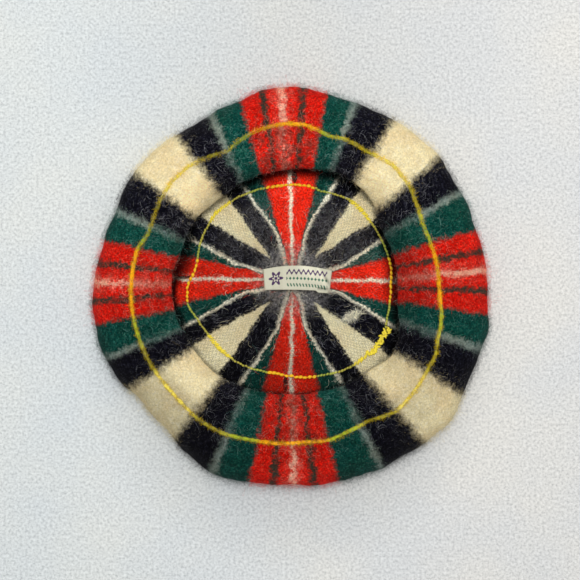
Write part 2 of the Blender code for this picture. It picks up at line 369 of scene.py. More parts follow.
class Surface:
    """The knitting's surface as a grid: a row along the section and a column round the axis."""

    def __init__(self):
        azimuth = np.arange(AZIMUTHS) * 360 / AZIMUTHS
        flat = sections(azimuth)
        a = np.radians(azimuth)[:, None]
        p = np.stack((flat[..., 0] * np.cos(a), flat[..., 0] * np.sin(a), flat[..., 1]), -1)
        self.points = p + relief(p)
        by_column = (np.roll(self.points, -1, 0) - np.roll(self.points, 1, 0)) / 2
        by_row = np.gradient(self.points, axis=1)
        self.normals = unit(np.cross(by_column, by_row))
        self.normals[:, 0], self.normals[:, -1] = (0, 0, -1), (0, 0, 1)
        self.column_size = np.linalg.norm(by_column, axis=-1)
        self.row_size = np.linalg.norm(by_row, axis=-1)

    def at(self, grid, column, row):
        """A grid's values between its points, for fractional columns and rows."""
        row = np.clip(row, 0, ROWS - 1.001)
        i, j = np.floor(column).astype(int), np.floor(row).astype(int)
        u, v = column - i, row - j
        i, after = i % AZIMUTHS, (i + 1) % AZIMUTHS
        if grid.ndim == 3:
            u, v = u[..., None], v[..., None]
        low = grid[i, j] * (1 - u) + grid[after, j] * u
        high = grid[i, j + 1] * (1 - u) + grid[after, j + 1] * u
        return low * (1 - v) + high * v

    def place(self, column, row):
        return self.at(self.points, column, row)

    def normal(self, column, row):
        return unit(self.at(self.normals, column, row))

    def row_at_radius(self, azimuth, radius, first, last):
        """Columns, and the fractional rows, between two rows, where the surface is at a radius."""
        column = np.asarray(azimuth) * AZIMUTHS / 360
        rows = np.linspace(first, last, 4 * abs(last - first) + 1)
        found = []
        for c, r in zip(column, radius):
            radii = radius_of(self.place(np.full(len(rows), c), rows))
            order = np.argsort(radii)
            found.append(np.interp(r, radii[order], rows[order]))
        return column, np.array(found)


# The tartan
def half_repeats(angle, turns):
    """For each angle, the borders of its half repeat and its own place, from the red middle."""
    reds, creams = turns[:, 0], turns[:, -1]
    away = wrap(angle[..., None] - reds) * np.sign(creams - reds)
    fits = np.where((away >= 0) & (away <= np.abs(creams - reds) + 1e-9), away, 1e9)
    which = fits.argmin(-1)
    borders = np.abs(turns - turns[:, :1])[which]
    return borders, np.take_along_axis(away, which[..., None], -1)[..., 0]


def piecewise(value, places):
    """The stripe coordinate of a value among rising places, given as (coordinate, places)."""
    result = np.full(value.shape, float(places[-1][0]))
    for (low_s, low), (high_s, high) in zip(places, places[1:]):
        share = (value - low) / np.maximum(high - low, 1e-9)
        inside = (value >= low) & (value < high)
        result = np.where(inside, low_s + (high_s - low_s) * np.clip(share, 0, 1), result)
    return result


def ring_stripe(points):
    """The stripe scale at points of the ring."""
    table, away = half_repeats(azimuth_of(points), RING_TURNS)
    places = [(0, 0 * away), (LINE, 0 * away + LINE_DEGREES)]
    places += [(border, table[..., k + 1]) for k, border in enumerate(BORDERS)]
    return piecewise(away, places)


def crown_angles():
    """The crown's table as angles about the place where its stripes run together."""
    a = np.radians(CROWN_TURNS)
    x = CROWN_TURN_RADIUS * np.cos(a) - CROWN_MIDDLE[0]
    y = CROWN_TURN_RADIUS * np.sin(a) - CROWN_MIDDLE[1]
    return np.degrees(np.unwrap(np.arctan2(y, x)))


CROWN_ANGLES = crown_angles()


def left_of(radius, gone, least):
    """How much of a stripe is left towards the crown's middle, as a share of its angle."""
    share = (radius - gone) / (CROWN_TURN_RADIUS - gone)
    return np.clip(share, least, 2) * CROWN_TURN_RADIUS / radius


def crown_stripe(points):
    """The same scale inside the crown, where the lines keep their width in millimetres."""
    radius = np.maximum(crown_reach(points), 1e-4)
    table, away = half_repeats(azimuth_of(points[..., :2] - CROWN_MIDDLE), CROWN_ANGLES)
    red, cream_edge, cream = table[..., 1], table[..., 4], table[..., 5]
    line = (table[..., 2] + table[..., 3]) / 2
    half = np.degrees((WHITE_HALF + 0.0005 * fade(0.02, 0.045, radius)) / radius)
    half_out = np.degrees(WHITE_HALF / CROWN_TURN_RADIUS)
    line = red + half + (line - red - half_out) * left_of(radius, GREEN_GONE, 0)
    centre = np.minimum(np.degrees(CENTRE_HALF / radius), 0.6 * red)
    low, high = line - half, line + half
    cream_left = np.minimum(left_of(radius, CREAM_GONE, 0.02), 1.04)
    edge = np.maximum(cream - (cream - cream_edge) * cream_left, high + 0.5)
    places = [(0, 0 * away), (LINE, centre), (RED_END, np.minimum(red, low)), (GREEN_END, low)]
    places += [(PALE_END, high), (BLACK_END, edge), (1.0, np.maximum(cream, edge + 0.5))]
    most = BLACK_END - 0.03 + 2 * np.maximum(radius - CREAM_GONE, 0) / 0.04
    return np.minimum(piecewise(away, places), most)


def across_of(points):
    """The level direction across the stripes."""
    return unit(np.stack((-points[..., 1], points[..., 0], 0 * points[..., 2]), -1))


def steepness(stripe, points):
    """How much the stripe scale gains for each metre across the stripes."""
    step = 0.0004 * across_of(points)
    return np.clip(np.abs(stripe(points + step) - stripe(points - step)) / 0.0008, 6, 60)


def wandering(points):
    """Points moved a little along the surface, so that the stripes' edges wander."""
    moved = points.copy()
    for axis, seed in ((0, 41), (1, 42)):
        moved[..., axis] += WANDER * waves(points, WANDER_LENGTH, seed)
    return moved


def yarn_radius(points):
    """How far from the middle the ring's yarn runs, in the direction of each point."""
    return SEEN_ON_CREST * np.interp(azimuth_of(points), YARN_AT, YARN_RADIUS, period=360)


def wool_colours(points, inside):
    """The palette entry of the wool that grows at each point."""
    count = len(points)
    jitter = rng.normal(size=points.shape) * (CROWN_STRAY if inside else RING_STRAY)
    moved = wandering(points) + jitter
    cloud = waves(points, 0.010, 51)
    wisp = np.clip(waves(points, 0.006, 52), 0, 1)
    wool = np.full(count, WOOLS["crown_cream" if inside else "cream"])

    def of(*names):
        return np.isin(wool, [WOOLS[name] for name in names])

    def put(name, mask, share=1.0):
        wool[mask & (rng.random(count) < share)] = WOOLS[name]

    def mix(name, others):
        here = of(name)
        for other, share in others:
            put(other, here, share)

    if inside:
        reach = crown_reach(moved)
        link = 0.0004 * np.sin(2 * np.pi * reach / CHAIN)
        moved = moved + link[:, None] * across_of(moved)
        stripe = crown_stripe(moved)
        to_cream = (BLACK_END - stripe) / steepness(crown_stripe, moved)
        for name, end in zip(("black", "white", "green", "crown_red", "white"), (*BORDERS[3::-1], LINE)):
            put(name, stripe < end)
        put("pale", of("white") & (np.abs(reach / CHAIN % 1 - 0.5) > 0.32), 0.3)
        put("pink", (stripe > LINE) & (stripe < 0.09), 0.4)
        put("pale", (stripe > GREEN_END - 0.06) & (stripe < PALE_END + 0.04) & ~of("white"), 0.30)
        for place, size in SLIVERS:
            put("green", radius_of((points[:, :2] - place) / size) < 0.9, 0.85)
        put("ash", of("black") & (np.abs(to_cream - EDGE_LINE) < 0.0005), 0.4)
        # Grey and pale fibres where the crown is matted, and in its north half as painted light
        for name, north in (("black", 0.36), ("green", 0.20), ("crown_cream", 0.0)):
            put("grey", of(name), 0.70 * matting_and_north_light_of(points, north))
        put("ash", of("black", "grey"), 0.25 * matting_and_north_light_of(points, 0.3))
        put("sage", of("green"), 0.5 * matting_and_north_light_of(points))
        mix("crown_red", (("red_light", 0.20), ("red_deep", 0.12)))
        mix("crown_cream", (("cream_light", 0.18), ("tan", 0.12)))
        mix("green", (("green_light", 0.18), ("pale", 0.08)))
        mix("black", (("black_light", 0.25), ("grey", 0.03)))
    else:
        stripe = ring_stripe(moved)
        inner = radius_of(points) < yarn_radius(points)
        put("black", ring_stripe(moved + rng.normal(size=points.shape) * BLACK_STRAY) < BLACK_END)
        for name, end in (("pale", PALE_END), ("green", GREEN_END), ("red", RED_END)):
            put(name, stripe < end)
        mix("pale", (("green_light", 0.25), ("black_light", 0.25)))
        black = of("black")
        put("pale", of("black", "green"), 0.4 * fade(0.02, 0.07, np.abs(stripe - 0.52)))
        put("grey", black, 0.50 * smooth(0.64, 0.80, stripe))
        put("tan", black, 0.32 * smooth(0.70, 0.82, stripe))
        put("dark", np.abs(stripe - DARK_LINE) < DARK_HALF, 0.95 + 0.4 * cloud)
        dull = dullness(points)
        put("dark", inner & (stripe < RED_END), 0.42 * dull * np.clip(cloud + 0.4, 0, 1))
        put("pink", stripe < LINE, np.where(inner, 0.45 - 0.35 * dull, 0.6) + 0.2 * cloud)
        put("rose", (stripe > LINE) & (stripe < 0.10), 0.14 + 0.35 * cloud)
        mix("red", (("red_light", 0.06 + 0.12 * wisp), ("red_deep", 0.20)))
        pale = 0.01 + 0.03 * np.clip(cloud, 0, 1)
        mix("green", (("green_light", 0.12 + 0.25 * wisp), ("pale", pale)))
        # More sage and grey fibres on the ring's north side, as painted light
        north = smooth(-0.05, 0.03, points[:, 1]) * np.clip(cloud + 0.3, 0, 1)
        put("sage", of("green"), 0.16 * north)
        mix("black", (("black_light", 0.08 + 0.25 * wisp), ("grey", 0.01 + 0.30 * north)))
    mix("cream", (("cream_light", 0.25), ("tan", 0.12)))
    mix("white", (("cream_light", 0.30),))
    return wool


def painted_shading_of(points, inside, creamy, red):
    """How much painted shade darkens the wool beyond that at the north side of the hat, the cream's mostly
    on top of the ring and the red's less than the rest. The ring's inner slope gets a little painted light
    there."""
    x, y, radius = points[..., 0], points[..., 1], radius_of(points)
    to_north = smooth(-0.01, 0.06, y)
    on_ring = np.interp(y, (-0.11, 0.0, 0.06), (0.50, 0.18, 0.0))
    on_ring = on_ring * np.interp(radius, (0.085, 0.105, 0.14), (0.5, 0.9, 1.0))
    on_ring = on_ring * np.interp(x, (-0.1, 0.1), (1.10, 0.78))
    share = 0.05 + 0.85 * smooth(0.095, 0.107, radius) - 0.45 * smooth(0.125, 0.138, radius)
    red_share = 0.72 - 0.45 * smooth(0.112, 0.132, radius)
    on_ring = on_ring * np.where(creamy, share, np.where(red, red_share, 1))
    slope = smooth(0.083, 0.092, radius) * fade(0.096, 0.108, radius)
    near_lip = fade(0.081, 0.091, radius)
    on_ring = on_ring + (0.24 * near_lip - 0.20 * slope) * to_north
    on_ring = on_ring + 0.22 * fade(0.090, 0.105, radius) * smooth(0.05, 0.08, x)
    on_crown = np.interp(y, (-0.06, -0.015, 0.05), (0.54, 0.20, 0.0))
    on_crown = on_crown + np.interp(x, (-0.06, 0.01), (0.16, 0.0))
    on_crown = on_crown * np.where(creamy, 0.22, np.where(red, 0.9, 1))
    on_crown = on_crown - np.where(red, 0.09, 0) * smooth(-0.01, 0.04, y + 0.6 * x)
    return np.where(inside, on_crown, on_ring)


def dullness(points):
    """How much dark wool shows through the red on the ring's inner slope, from 0 to 1."""
    places = 0, 40, 60, 120, 145, 215, 245, 295, 320, 360
    return np.interp(azimuth_of(points) % 360, places, (0.55, 0.3, 1, 1, 0.4, 0.4, 0.8, 0.8, 0.3, 0.55))


def matting_and_north_light_of(points, north=0.42):
    """How matted with pale loose wool the inside of the crown is, wholly at its middle; in part in
    its north half, where the pale wool is painted light."""
    reach = crown_reach(points)
    x, y = points[..., 0] - CROWN_MIDDLE[0], points[..., 1] - CROWN_MIDDLE[1]
    half = north * smooth(-0.004, 0.022, y + 0.3 * x) * fade(0.056, 0.072, reach)
    return np.maximum(fade(*CENTRE_FUZZ, reach), half)


def crease_of(points):
    """From 0 to 1, how far into the crease under the lip a point of the crown's inside is, for the painted
    shade there.
    """
    azimuth = azimuth_of(points)
    reach = 0.0012 + 0.0050 * smooth(1.0, 1.45, around(azimuth, RIM_RISE))
    for place, spread, more in WIDE_CREASE_SHADES:
        reach = reach + more * bell(wrap(azimuth - place) / spread)
    within = OPENING_DIAMETER / 2 * around(azimuth, RIM) - radius_of(points)
    return fade(-0.0005, 1.0, within / reach)


# Meshes and materials
def mesh_piece(name, points, quads, material, tris=np.zeros((0, 3), int)):
    """A piece from arrays of corners, four-sided faces and three-sided ones."""
    mesh = bpy.data.meshes.new(name)
    corners = np.concatenate((quads.ravel(), tris.ravel())).astype(np.int32)
    sizes = np.concatenate((np.full(len(quads), 4), np.full(len(tris), 3))).astype(np.int32)
    starts = np.concatenate(([0], np.cumsum(sizes)[:-1])).astype(np.int32)
    mesh.vertices.add(len(points))
    mesh.loops.add(len(corners))
    mesh.polygons.add(len(sizes))
    mesh.vertices.foreach_set("co", np.ascontiguousarray(points, np.float32).ravel())
    mesh.loops.foreach_set("vertex_index", corners)
    mesh.polygons.foreach_set("loop_start", starts)
    mesh.update(calc_edges=True)
    mesh.shade_smooth()
    mesh.materials.append(material)
    piece = bpy.data.objects.new(name, mesh)
    bpy.context.scene.collection.objects.link(piece)
    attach(piece, "root")
    return piece


def point_values(piece, **values):
    """Keeps numbers for each point of a piece, for its material."""
    for name, value in values.items():
        kept = piece.data.attributes.new(name, "FLOAT", "POINT")
        kept.data.foreach_set("value", np.ascontiguousarray(value, np.float32).ravel())


def paint(colour):
    """A colour with its alpha, from a name in the palette, a grey's number or three values."""
    colour = PALETTE[colour] if isinstance(colour, str) else colour
    return (*colour, 1) if isinstance(colour, tuple) else (colour, colour, colour, 1)


def operator(kind, turned=False):
    """A method that makes the math node of a kind from a value and another one or a number."""

    def apply(self, other=0.0):
        return self.nodes.math(kind, *((other, self) if turned else (self, other)))

    return apply


class Value:
    """A node's output, so that node values are written as formulas."""

    def __init__(self, nodes, socket):
        self.nodes, self.socket = nodes, socket

    __add__, __mul__ = operator("ADD"), operator("MULTIPLY")
    __sub__, __rsub__ = operator("SUBTRACT"), operator("SUBTRACT", True)
    __truediv__ = operator("DIVIDE")
    __lt__, __gt__ = operator("LESS_THAN"), operator("GREATER_THAN")
    __abs__ = operator("ABSOLUTE")


class Nodes:
    """A material's node tree, built by name."""

    def __init__(self, name):
        self.material = bpy.data.materials.new(name)
        self.material.use_nodes = True
        self.tree = self.material.node_tree

    def feed(self, socket, value):
        """Links a value to an input, or sets the input's own value."""
        if isinstance(value, Value):
            self.tree.links.new(value.socket, socket)
        else:
            socket.default_value = value

    def add(self, kind, inputs, output=0, **settings):
        """Adds a node with its inputs and settings, and gives one of its outputs."""
        node = self.tree.nodes.new("ShaderNode" + kind)
        for key, value in settings.items():
            setattr(node, key, value)
        for key, value in inputs.items():
            self.feed(node.inputs[key], value)
        return Value(self, node.outputs[output])

    def attribute(self, name):
        return self.add("Attribute", {}, "Fac", attribute_name=name)

    def math(self, operation, a, b=0.0):
        return self.add("Math", {0: a, 1: b}, operation=operation)

    def sine(self, value, length):
        """Waves of a length along a value."""
        return self.math("SINE", value * (2 * math.pi / length))

    def mix(self, share, a, b, blend="MIX"):
        a, b = (c if isinstance(c, Value) else paint(c) for c in (a, b))
        return self.add("Mix", {0: share, 6: a, 7: b}, 2, data_type="RGBA", blend_type=blend)

    def times(self, a, b):
        return self.mix(1.0, a, b, "MULTIPLY")

    def noise(self, scale, detail=2.0, roughness=0.5):
        inputs = {"Vector": self.place(), "Scale": scale, "Detail": detail, "Roughness": roughness}
        return self.add("TexNoise", inputs, "Fac")

    def place(self):
        return self.add("TexCoord", {}, "Object")

    def flat(self, middle):
        """The place across and along the surface, from a middle."""
        return [self.add("SeparateXYZ", {0: self.place()}, i) - float(middle[i]) for i in (0, 1)]

    def reach(self, middle=CROWN_MIDDLE):
        x, y = self.flat(middle)
        return self.math("SQRT", x * x + y * y)

    def knit(self):
        """Rows of small chevrons round the middle of the crown, from 0 to 1."""
        x, y = self.flat(CROWN_MIDDLE)
        column = self.math("ARCTAN2", y, x) * (KNIT_COLUMNS / (2 * math.pi))
        slant = self.math("PINGPONG", column, 0.5) * 2.0
        row = self.reach() * (1 / KNIT_ROW) + slant + self.noise(260) * 0.9
        return self.sine(row, 1) * 0.5 + 0.5

    def ramp(self, value, stops, interpolation="LINEAR"):
        """Colours by a value, from stops (place, colour)."""
        graded = self.add("ValToRGB", {0: value})
        ramp = graded.socket.node.color_ramp
        ramp.interpolation = interpolation
        while len(ramp.elements) < len(stops):
            ramp.elements.new(0.5)
        for element, (place, colour) in zip(ramp.elements, stops):
            element.position = place
            element.color = paint(colour)
        return graded

    def stripes(self, value, colours, soft):
        """Colours by the stripe scale: the line in the red, red, green, the pale line, black and
        cream. soft says how far a border blends on each side, for all borders or for each one."""
        softs = [soft] * 6 if isinstance(soft, float) else [*soft, 0.0]
        stops = []
        start, before = 0.0, 0.0
        for end, colour, after in zip((LINE, *BORDERS), colours, softs):
            middle = (start + end) / 2
            stops.append((min(start + before, middle) if start else 0.0, colour))
            stops.append((max(end - after, middle + 0.0005) if end < 1 else 1.0, colour))
            start, before = end, after
        return self.ramp(value, stops)

    def bump(self, height, distance, strength=1.0):
        inputs = {"Height": height, "Distance": distance, "Strength": strength}
        return self.add("Bump", inputs, "Normal")

    def finish(self, colour, roughness, specular, sheen=0.0, **more):
        inputs = {"Base Color": colour, "Roughness": roughness, "Specular IOR Level": specular}
        inputs.update({"Sheen Weight": sheen}, **more)
        for key, value in inputs.items():
            self.feed(self.tree.nodes["Principled BSDF"].inputs[key], value)
        return self.material


def wool_material():
    """The milled knitting: tartan from the stripe scale, felted grain and soft relief."""
    n = Nodes("tartan_wool")
    inner, inside, dull, slope = (n.attribute(name) for name in ("inner", "inside", "dull", "slope"))
    outside = 1.0 - inside
    wander = n.noise(300) - 0.5
    shift = wander * 0.0080 + (n.noise(1250) - 0.5) * 0.0050
    chain = n.math("PINGPONG", n.reach(), CHAIN / 2) - CHAIN / 4
    shift = shift * (1.0 - inside * 0.6) + chain * inside * 0.5
    stripe = shift * slope + n.attribute("stripe")

    # The ring, with the dark lines and the mottling in its red
    outer_ring = n.stripes(stripe, ("pink", "red", "green", "pale", "black", "cream"), OUTER_SOFT)
    inner_ring = ("red", "red", "green", linear(70, 96, 88), "black", "cream")
    inner_ring = n.stripes(stripe, inner_ring, INNER_SOFT)
    in_line = n.ramp(stripe, ((0.03, 1), (0.07, 0)))
    inner_ring = n.mix(in_line, inner_ring, n.mix(dull, linear(240, 104, 78), linear(150, 62, 52)))
    ring = n.mix(inner, outer_ring, inner_ring)
    spread = n.noise(190, 3, 0.6)
    haze = n.ramp(stripe, ((0.035, 0.75), (0.105, 0))) * n.ramp(spread, ((0.42, 0), (0.62, 0.8)))
    ring = n.mix(haze, ring, linear(240, 132, 112))
    line = n.ramp(stripe, ((0.112, 0), (0.130, 1), (0.156, 1), (0.174, 0)))
    line = line * n.ramp(spread, ((0.34, 0.50), (0.52, 1)))
    mottle = n.ramp(n.noise(230, 3, 0.65), ((0.47, 0), (0.62, 0.62)))
    mottle = mottle * inner * n.ramp(stripe, ((0.25, 1), (0.30, 0))) * dull
    darker = n.math("MAXIMUM", line, mottle) * outside

    # The crown, with the knitted rows, the matted middle with painted light in its north half, and the
    # chains of its white lines
    crown = ("white", "crown_red", "green", "white", "black", "crown_cream")
    crown = n.stripes(stripe, crown, CROWN_SOFT)
    knit = n.knit()
    crown = n.times(crown, n.ramp(knit, ((0, 0.76), (1, 1.24))))
    gap = (BLACK_END - stripe) / slope
    beside = n.ramp(gap * (0.2 / EDGE_LINE), ((0.15, 0), (0.18, 0.55), (0.22, 0.55), (0.25, 0)))
    frayed = n.ramp(n.noise(330), ((0.44, 0), (0.60, 1)))
    crown = n.mix(beside * frayed, crown, linear(176, 174, 164))
    # Matted grey at the middle, and painted light in the north half of the green and black
    matted = n.attribute("centre") * n.ramp(n.noise(420, 3, 0.7), ((0.36, 0.10), (0.58, 1)))
    crown = n.mix(matted, crown, linear(176, 170, 164))
    joint = n.math("PINGPONG", wander * 0.0015 + n.reach(), CHAIN / 2) * (2 / CHAIN)
    on_white = ((LINE, 1), (LINE + 0.012, 0), (GREEN_END - 0.02, 0))
    on_white = n.ramp(stripe, on_white + ((GREEN_END, 1), (PALE_END, 1), (PALE_END + 0.02, 0)))
    crown = n.mix(on_white, crown, n.times(crown, n.ramp(joint, ((0, 0.66), (0.40, 1.22)))))
    for place, size in SLIVERS:
        x, y = n.flat(place)
        x, y = x / size[0], y / size[1]
        crown = n.mix(n.ramp(x * x + y * y, ((0.6, 0.9), (1, 0))), crown, linear(8, 26, 24))

    # Both, with light fibre ends, the yarn's own colour, grain, clouds, and painted light and shade
    lights = (250, 205, 186), (232, 88, 68), (58, 122, 104), (170, 180, 170), (62, 62, 76), (255, 249, 226)
    light = n.stripes(stripe, [linear(*colour) for colour in lights], 0.017)
    bloom = n.ramp(n.noise(520, 4, 0.72), ((0.50, 0), (0.72, 0.75)))
    tartan = n.mix(darker, n.mix(bloom, n.mix(inside, ring, crown), light), "dark")
    off = abs(wander * 0.0022 + n.attribute("yarn"))
    on_yarn = n.ramp(off * 420.0, ((0.25, 0.85), (0.68, 0))) * outside
    tartan = n.mix(on_yarn, tartan, n.stripes(stripe, YARN, 0.03))
    shade = n.ramp(n.noise(850, 2.5, 0.75), ((0.30, 0.22), (0.5, 0.90), (0.70, 1.8)))
    shade = n.times(shade, n.ramp(n.noise(150), ((0.3, 0.76), (0.7, 1.18))))
    contrast = n.stripes(stripe, (0.5, 0.9, 1, 0.5, 1, 0.32), 0.02)
    tartan = n.times(tartan, n.ramp(n.noise(50), ((0.40, linear(248, 240, 232)), (0.58, 1))))
    tartan = n.mix(contrast, tartan, n.times(tartan, shade))
    # Painted light and shade by place on the hat, with painted shade in the crease under the lip
    tartan = n.times(tartan, 1.0 - n.attribute("deep"))
    normal = n.bump(knit * inside * 0.5 + n.noise(620, 4, 0.6), 0.0010, 0.8)
    return n.finish(tartan, 0.95, 0.04, 0.04, Normal=normal)


def nap_material():
    """Brushed fibres. Which wool a fibre is, and how bright it is with its painted light and shade, are kept
    on the fibre.
    """
    n = Nodes("tartan_nap")
    steps = [(i / len(PALETTE), colour) for i, colour in enumerate(PALETTE)]
    base = n.ramp(n.attribute("wool"), steps, "CONSTANT")
    tone = n.ramp(n.attribute("tone"), ((0, 0.2), (0.5, 1), (1, 1.8)))
    return n.finish(n.times(base, tone), 0.95, 0.05, 0.04)


def yarn_material(name, over, soft):
    """Yellow wool, tinged by the stripe that it crosses."""
    n = Nodes(name)
    grain = n.noise(1300, 3, 0.7)
    local = n.stripes(n.attribute("stripe"), over, soft)
    shade = n.ramp(grain, ((0.3, 0.6), (0.5, 1.05), (0.7, 1.35)))
    shade = n.times(shade, 1.0 - n.attribute("sunk") * 0.9)
    return n.finish(n.times(local, shade), 0.95, 0.15, Normal=n.bump(grain, 0.0005))


def label_material():
    """Ivory tape with a woven flower, a wave, small diamonds and slanting bars."""
    n = Nodes("label_tape")
    along, across = n.attribute("along"), n.attribute("across")
    right = (along > -0.0080) * (along < 0.0215)
    wave = n.sine(along, 0.0034) * 0.0012
    wave = (abs(across - wave - 0.0043) < 0.00085) * right
    rise = abs(across + 0.0004) * 0.8
    diamonds = (n.math("PINGPONG", along, 0.0013) + rise < 0.00095) * right
    slant = n.math("PINGPONG", across * 0.4 + along, 0.0011)
    bars = (slant < 0.00050) * (abs(across + 0.0051) < 0.0011) * right
    x = along + 0.0155
    reach = n.math("SQRT", x * x + across * across)
    petal = n.math("COSINE", n.math("ARCTAN2", across, x) * 6.0) * 0.0014 + 0.0040
    flower = n.math("MAXIMUM", (reach < petal) * (reach > petal * 0.50), reach < 0.0011)
    colour = n.mix(n.noise(2400), linear(238, 234, 210), linear(220, 216, 192))
    colour = n.mix(n.math("MAXIMUM", wave, flower), colour, linear(80, 46, 96))
    colour = n.mix(n.math("MAXIMUM", diamonds, bars), colour, linear(34, 108, 78))
    weave = n.sine(along, 0.00042) * n.sine(across, 0.00032) * 0.25 + 0.5
    shade = n.ramp(weave, ((0.2, 0.86), (0.75, 1)))
    # Painted shadow along the fold and in the pocket of the slack corner, and painted light and shade by the
    # bulge and the fold's ridge: darker away from them, lighter on them
    shade = n.mix(n.attribute("crease"), shade, linear(96, 100, 84))
    shade = n.times(shade, n.ramp(n.attribute("bulge"), ((0, linear(234, 234, 232)), (1, 1.12))))
    return n.finish(n.times(colour, shade), 0.55, 0.35, Normal=n.bump(weave, 0.00012, 0.6))


def stage_material():
    """Matt paper with a fine tooth, a little cooler on one side, with painted shadow north and south of the
    hat.
    """
    n = Nodes("studio_floor")
    fine = n.noise(500, 4, 0.75)
    lows, mids, highs = linear(190, 191, 192), linear(230, 230, 229), linear(253, 253, 252)
    speckle = n.ramp(fine, ((0.3, lows), (0.5, mids), (0.7, highs)))
    tint_and_shadow = n.ramp(n.noise(9, 3), ((0.38, linear(242, 245, 248)), (0.62, linear(250, 250, 248))))
    side = n.flat((0.0, 0.0))[0] * 2.5 + 0.5
    side = n.ramp(side, ((0.1, linear(251, 254, 253)), (0.8, linear(255, 253, 250))))
    tint_and_shadow = n.times(tint_and_shadow, side)
    # Painted shadow on the floor, beyond the hat's north edge and about its south half
    tint_and_shadow = n.times(tint_and_shadow, n.ramp(n.reach((0.0, 0.19)), ((0, 0.89), (0.17, 1))))
    tint_and_shadow = n.times(tint_and_shadow, n.ramp(n.reach((0.0, -0.06)), ((0.100, 0.85), (0.150, 1))))
    return n.finish(n.times(speckle, tint_and_shadow), 0.9, 0.1, Normal=n.bump(fine, 0.0004, 0.5))


# The pieces
def make_bonnet():
    """The visible knitting, inside and out, as one closed mesh with its pole points joined."""
    p = surface.points
    count = ROWS - 2
    i = np.arange(AZIMUTHS)[:, None]
    after = (i + 1) % AZIMUTHS
    here, beside = i * count + np.arange(count - 1), after * count + np.arange(count - 1)
    quads = np.stack((here, beside, beside + 1, here + 1), -1).reshape(-1, 4)
    pole = np.full((AZIMUTHS, 1), AZIMUTHS * count)
    low = np.concatenate((pole, after * count, i * count), 1)
    high = np.concatenate((pole + 1, i * count + count - 1, after * count + count - 1), 1)
    points = np.concatenate((p[:, 1:-1].reshape(-1, 3), p[0, :1], p[0, -1:]))
    piece = mesh_piece("bonnet_knit", points, quads, wool_material(), np.concatenate((low, high)))
    row = np.concatenate((np.tile(np.arange(1, ROWS - 1), AZIMUTHS), (0, ROWS - 1)))
    inside = smooth(LIP_ROW - 1, LIP_ROW + 6, row) > 0.5
    moved = wandering(points)
    stripe = np.where(inside, crown_stripe(moved), ring_stripe(moved))
    slope = np.where(inside, steepness(crown_stripe, moved), steepness(ring_stripe, moved))
    past = yarn_radius(points) - radius_of(points)
    creamy, red = stripe > BLACK_END, stripe < RED_END
    green = (stripe > RED_END) & (stripe < PALE_END)
    # Painted shade in the crease under the lip, less on the cream, joined with painted light and shade by
    # place
    crease = crease_of(points) * np.where(creamy, 0.50, np.where(red, 0.94, 0.97))
    crease = crease * (row > LIP_ROW + DIP_STEPS + TOP_STEPS)
    place_shading = painted_shading_of(points, inside, creamy, red) * np.where(green, 0.75, 1)
    # The middle's matting, and painted light in the north half of the green and black
    centre = np.where(creamy | red, 0.8 * matting_and_north_light_of(points, 0.0), matting_and_north_light_of(points, 0.12))
    point_values(piece, stripe=stripe, slope=slope, inside=inside, centre=centre, yarn=past)
    point_values(piece, inner=smooth(-0.001, 0.004, past), dull=dullness(points))
    point_values(piece, deep=1 - (1 - place_shading) * (1 - crease))
    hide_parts("bonnet")


def lighter(inside, share, stray=0.0):
    """Picks the light ends of the wool, for a share of the fibres that lie on top."""
    pale = {"black": "ash", "black_light": "ash", "green": "sage", "green_light": "sage", "red": "rose"}
    pale.update({"red_deep": "rose", "dark": "rose", "crown_red": "red_light"})

    def pick(roots):
        wool = wool_colours(roots + rng.normal(size=roots.shape) * stray, inside)
        for name, other in pale.items():
            wool[(wool == WOOLS[name]) & (rng.random(len(wool)) < share)] = WOOLS[other]
        return wool

    return pick


def sown(count, rows):
    """Fractional columns and rows spread evenly over the surface between two rows."""
    area = (surface.column_size * surface.row_size)[:, rows[0] : rows[1]]
    cumulative = np.cumsum(area.ravel())
    cell = np.searchsorted(cumulative, rng.random(count) * cumulative[-1])
    return cell // area.shape[1] + rng.random(count), rows[0] + cell % area.shape[1] + rng.random(count)


